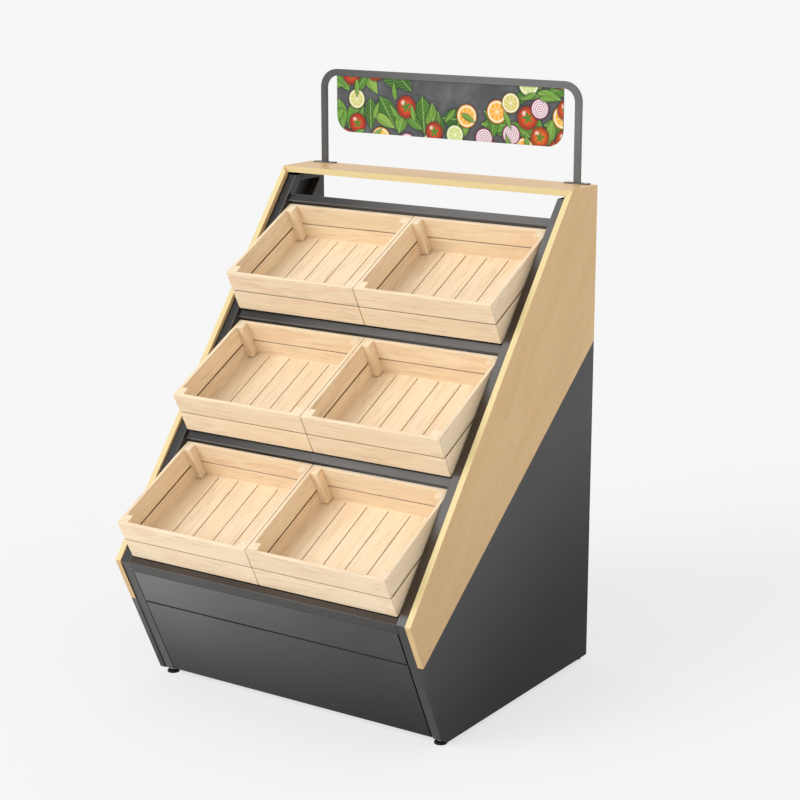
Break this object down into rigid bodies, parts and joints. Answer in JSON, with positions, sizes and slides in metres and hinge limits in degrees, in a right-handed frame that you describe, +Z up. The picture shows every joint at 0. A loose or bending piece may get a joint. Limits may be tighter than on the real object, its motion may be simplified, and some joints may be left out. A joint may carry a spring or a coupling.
{
  "type": "tiered basket stand",
  "caption": "Free-standing produce stand with wood-look sides, a dark steel frame, tilted tiers of lift-out pine crates, a bent header bar with a sign, and levelling feet.",
  "frame": {"origin": "on the floor, below the middle of the stand's bounding box", "axes": "+X to the right as seen from the front, +Y to the back, +Z up"},
  "size_m": [1, 1.0088, 1.712],
  "materials": {
    "frame_steel": "dark grey powder coat, satin",
    "header_steel": "grey powder coat, satin",
    "oak_board": "oak-look board with banded edges, satin",
    "dark_board": "charcoal laminate on board, satin",
    "crate_pine": "planed pale pine, bare",
    "sign_sheet": "printed sheet, satin",
    "zinc_steel": "zinc plated",
    "black_plastic": "moulded, matt"
  },
  "bodies": {
    "stand": {"base_side_rails": "frame_steel", "dark_side_left": "dark_board", "dark_side_right": "dark_board", "display_rail": "frame_steel", "fascia_panel": "dark_board", "foot_plugs": "black_plastic", "front_base_rail": "frame_steel", "front_leg_left": "frame_steel", "front_leg_right": "frame_steel", "header_frame": "header_steel", "header_plates": "header_steel", "header_screws": "zinc_steel", "kick_panel": "dark_board", "knuckle_bar": "frame_steel", "panel_rail": "frame_steel", "rear_base_rail": "frame_steel", "rear_top_rail": "frame_steel", "rear_upright_left": "frame_steel", "rear_upright_right": "frame_steel", "shelf_angles": "frame_steel", "shelf_deck_bottom": "frame_steel", "shelf_deck_middle": "frame_steel", "shelf_deck_top": "frame_steel", "shelf_rear_rails": "frame_steel", "sign_panel": "sign_sheet", "slope_brace_left": "frame_steel", "slope_brace_right": "frame_steel", "slope_post_left": "frame_steel", "slope_post_right": "frame_steel", "tier_bars": "frame_steel", "top_board": "oak_board", "top_side_rails": "frame_steel", "wood_side_left": "oak_board", "wood_side_right": "oak_board"},
    "crate_bottom_left": {"crate_bottom_left_walls": "crate_pine", "crate_bottom_left_floor": "crate_pine", "crate_bottom_left_corners": "crate_pine"},
    "crate_bottom_right": {"crate_bottom_right_walls": "crate_pine", "crate_bottom_right_floor": "crate_pine", "crate_bottom_right_corners": "crate_pine"},
    "crate_middle_left": {"crate_middle_left_walls": "crate_pine", "crate_middle_left_floor": "crate_pine", "crate_middle_left_corners": "crate_pine"},
    "crate_middle_right": {"crate_middle_right_walls": "crate_pine", "crate_middle_right_floor": "crate_pine", "crate_middle_right_corners": "crate_pine"},
    "crate_top_left": {"crate_top_left_walls": "crate_pine", "crate_top_left_floor": "crate_pine", "crate_top_left_corners": "crate_pine"},
    "crate_top_right": {"crate_top_right_walls": "crate_pine", "crate_top_right_floor": "crate_pine", "crate_top_right_corners": "crate_pine"},
    "pad_front_left": {"foot_pad_front_left": "black_plastic"},
    "stud_front_left": {"foot_stud_front_left": "zinc_steel"},
    "pad_front_right": {"foot_pad_front_right": "black_plastic"},
    "stud_front_right": {"foot_stud_front_right": "zinc_steel"},
    "pad_rear_left": {"foot_pad_rear_left": "black_plastic"},
    "stud_rear_left": {"foot_stud_rear_left": "zinc_steel"},
    "pad_rear_right": {"foot_pad_rear_right": "black_plastic"},
    "stud_rear_right": {"foot_stud_rear_right": "zinc_steel"}
  },
  "joints": [
    {"name": "crate_bottom_left_lift", "type": "slide", "parent": "stand", "child": "crate_bottom_left", "axis": [0, -0.7788, 0.6273], "range_m": [0, 0.32]},
    {"name": "crate_bottom_right_lift", "type": "slide", "parent": "stand", "child": "crate_bottom_right", "axis": [0, -0.7788, 0.6273], "range_m": [0, 0.32]},
    {"name": "crate_middle_left_lift", "type": "slide", "parent": "stand", "child": "crate_middle_left", "axis": [0, -0.7788, 0.6273], "range_m": [0, 0.32]},
    {"name": "crate_middle_right_lift", "type": "slide", "parent": "stand", "child": "crate_middle_right", "axis": [0, -0.7788, 0.6273], "range_m": [0, 0.32]},
    {"name": "crate_top_left_lift", "type": "slide", "parent": "stand", "child": "crate_top_left", "axis": [0, -0.7788, 0.6273], "range_m": [0, 0.32]},
    {"name": "crate_top_right_lift", "type": "slide", "parent": "stand", "child": "crate_top_right", "axis": [0, -0.7788, 0.6273], "range_m": [0, 0.32]},
    {"name": "foot_front_left_height", "type": "slide", "parent": "stand", "child": "pad_front_left", "axis": [0, 0, -1], "range_m": [0, 0.012]},
    {"name": "foot_front_left_turn", "type": "hinge", "parent": "pad_front_left", "child": "stud_front_left", "pos_m": [-0.467, -0.26058, 0], "axis": [0, 0, -1], "range_deg": [0, 2880]},
    {"name": "foot_front_right_height", "type": "slide", "parent": "stand", "child": "pad_front_right", "axis": [0, 0, -1], "range_m": [0, 0.012]},
    {"name": "foot_front_right_turn", "type": "hinge", "parent": "pad_front_right", "child": "stud_front_right", "pos_m": [0.467, -0.26058, 0], "axis": [0, 0, -1], "range_deg": [0, 2880]},
    {"name": "foot_rear_left_height", "type": "slide", "parent": "stand", "child": "pad_rear_left", "axis": [0, 0, -1], "range_m": [0, 0.012]},
    {"name": "foot_rear_left_turn", "type": "hinge", "parent": "pad_rear_left", "child": "stud_rear_left", "pos_m": [-0.467, 0.487, 0], "axis": [0, 0, -1], "range_deg": [0, 2880]},
    {"name": "foot_rear_right_height", "type": "slide", "parent": "stand", "child": "pad_rear_right", "axis": [0, 0, -1], "range_m": [0, 0.012]},
    {"name": "foot_rear_right_turn", "type": "hinge", "parent": "pad_rear_right", "child": "stud_rear_right", "pos_m": [0.467, 0.487, 0], "axis": [0, 0, -1], "range_deg": [0, 2880]}
  ],
  "couplings": [
    {"joint": "foot_front_left_turn", "follows": "foot_front_left_height", "rad_per_m": 4188.8},
    {"joint": "foot_front_right_turn", "follows": "foot_front_right_height", "rad_per_m": 4188.8},
    {"joint": "foot_rear_left_turn", "follows": "foot_rear_left_height", "rad_per_m": 4188.8},
    {"joint": "foot_rear_right_turn", "follows": "foot_rear_right_height", "rad_per_m": 4188.8}
  ]
}
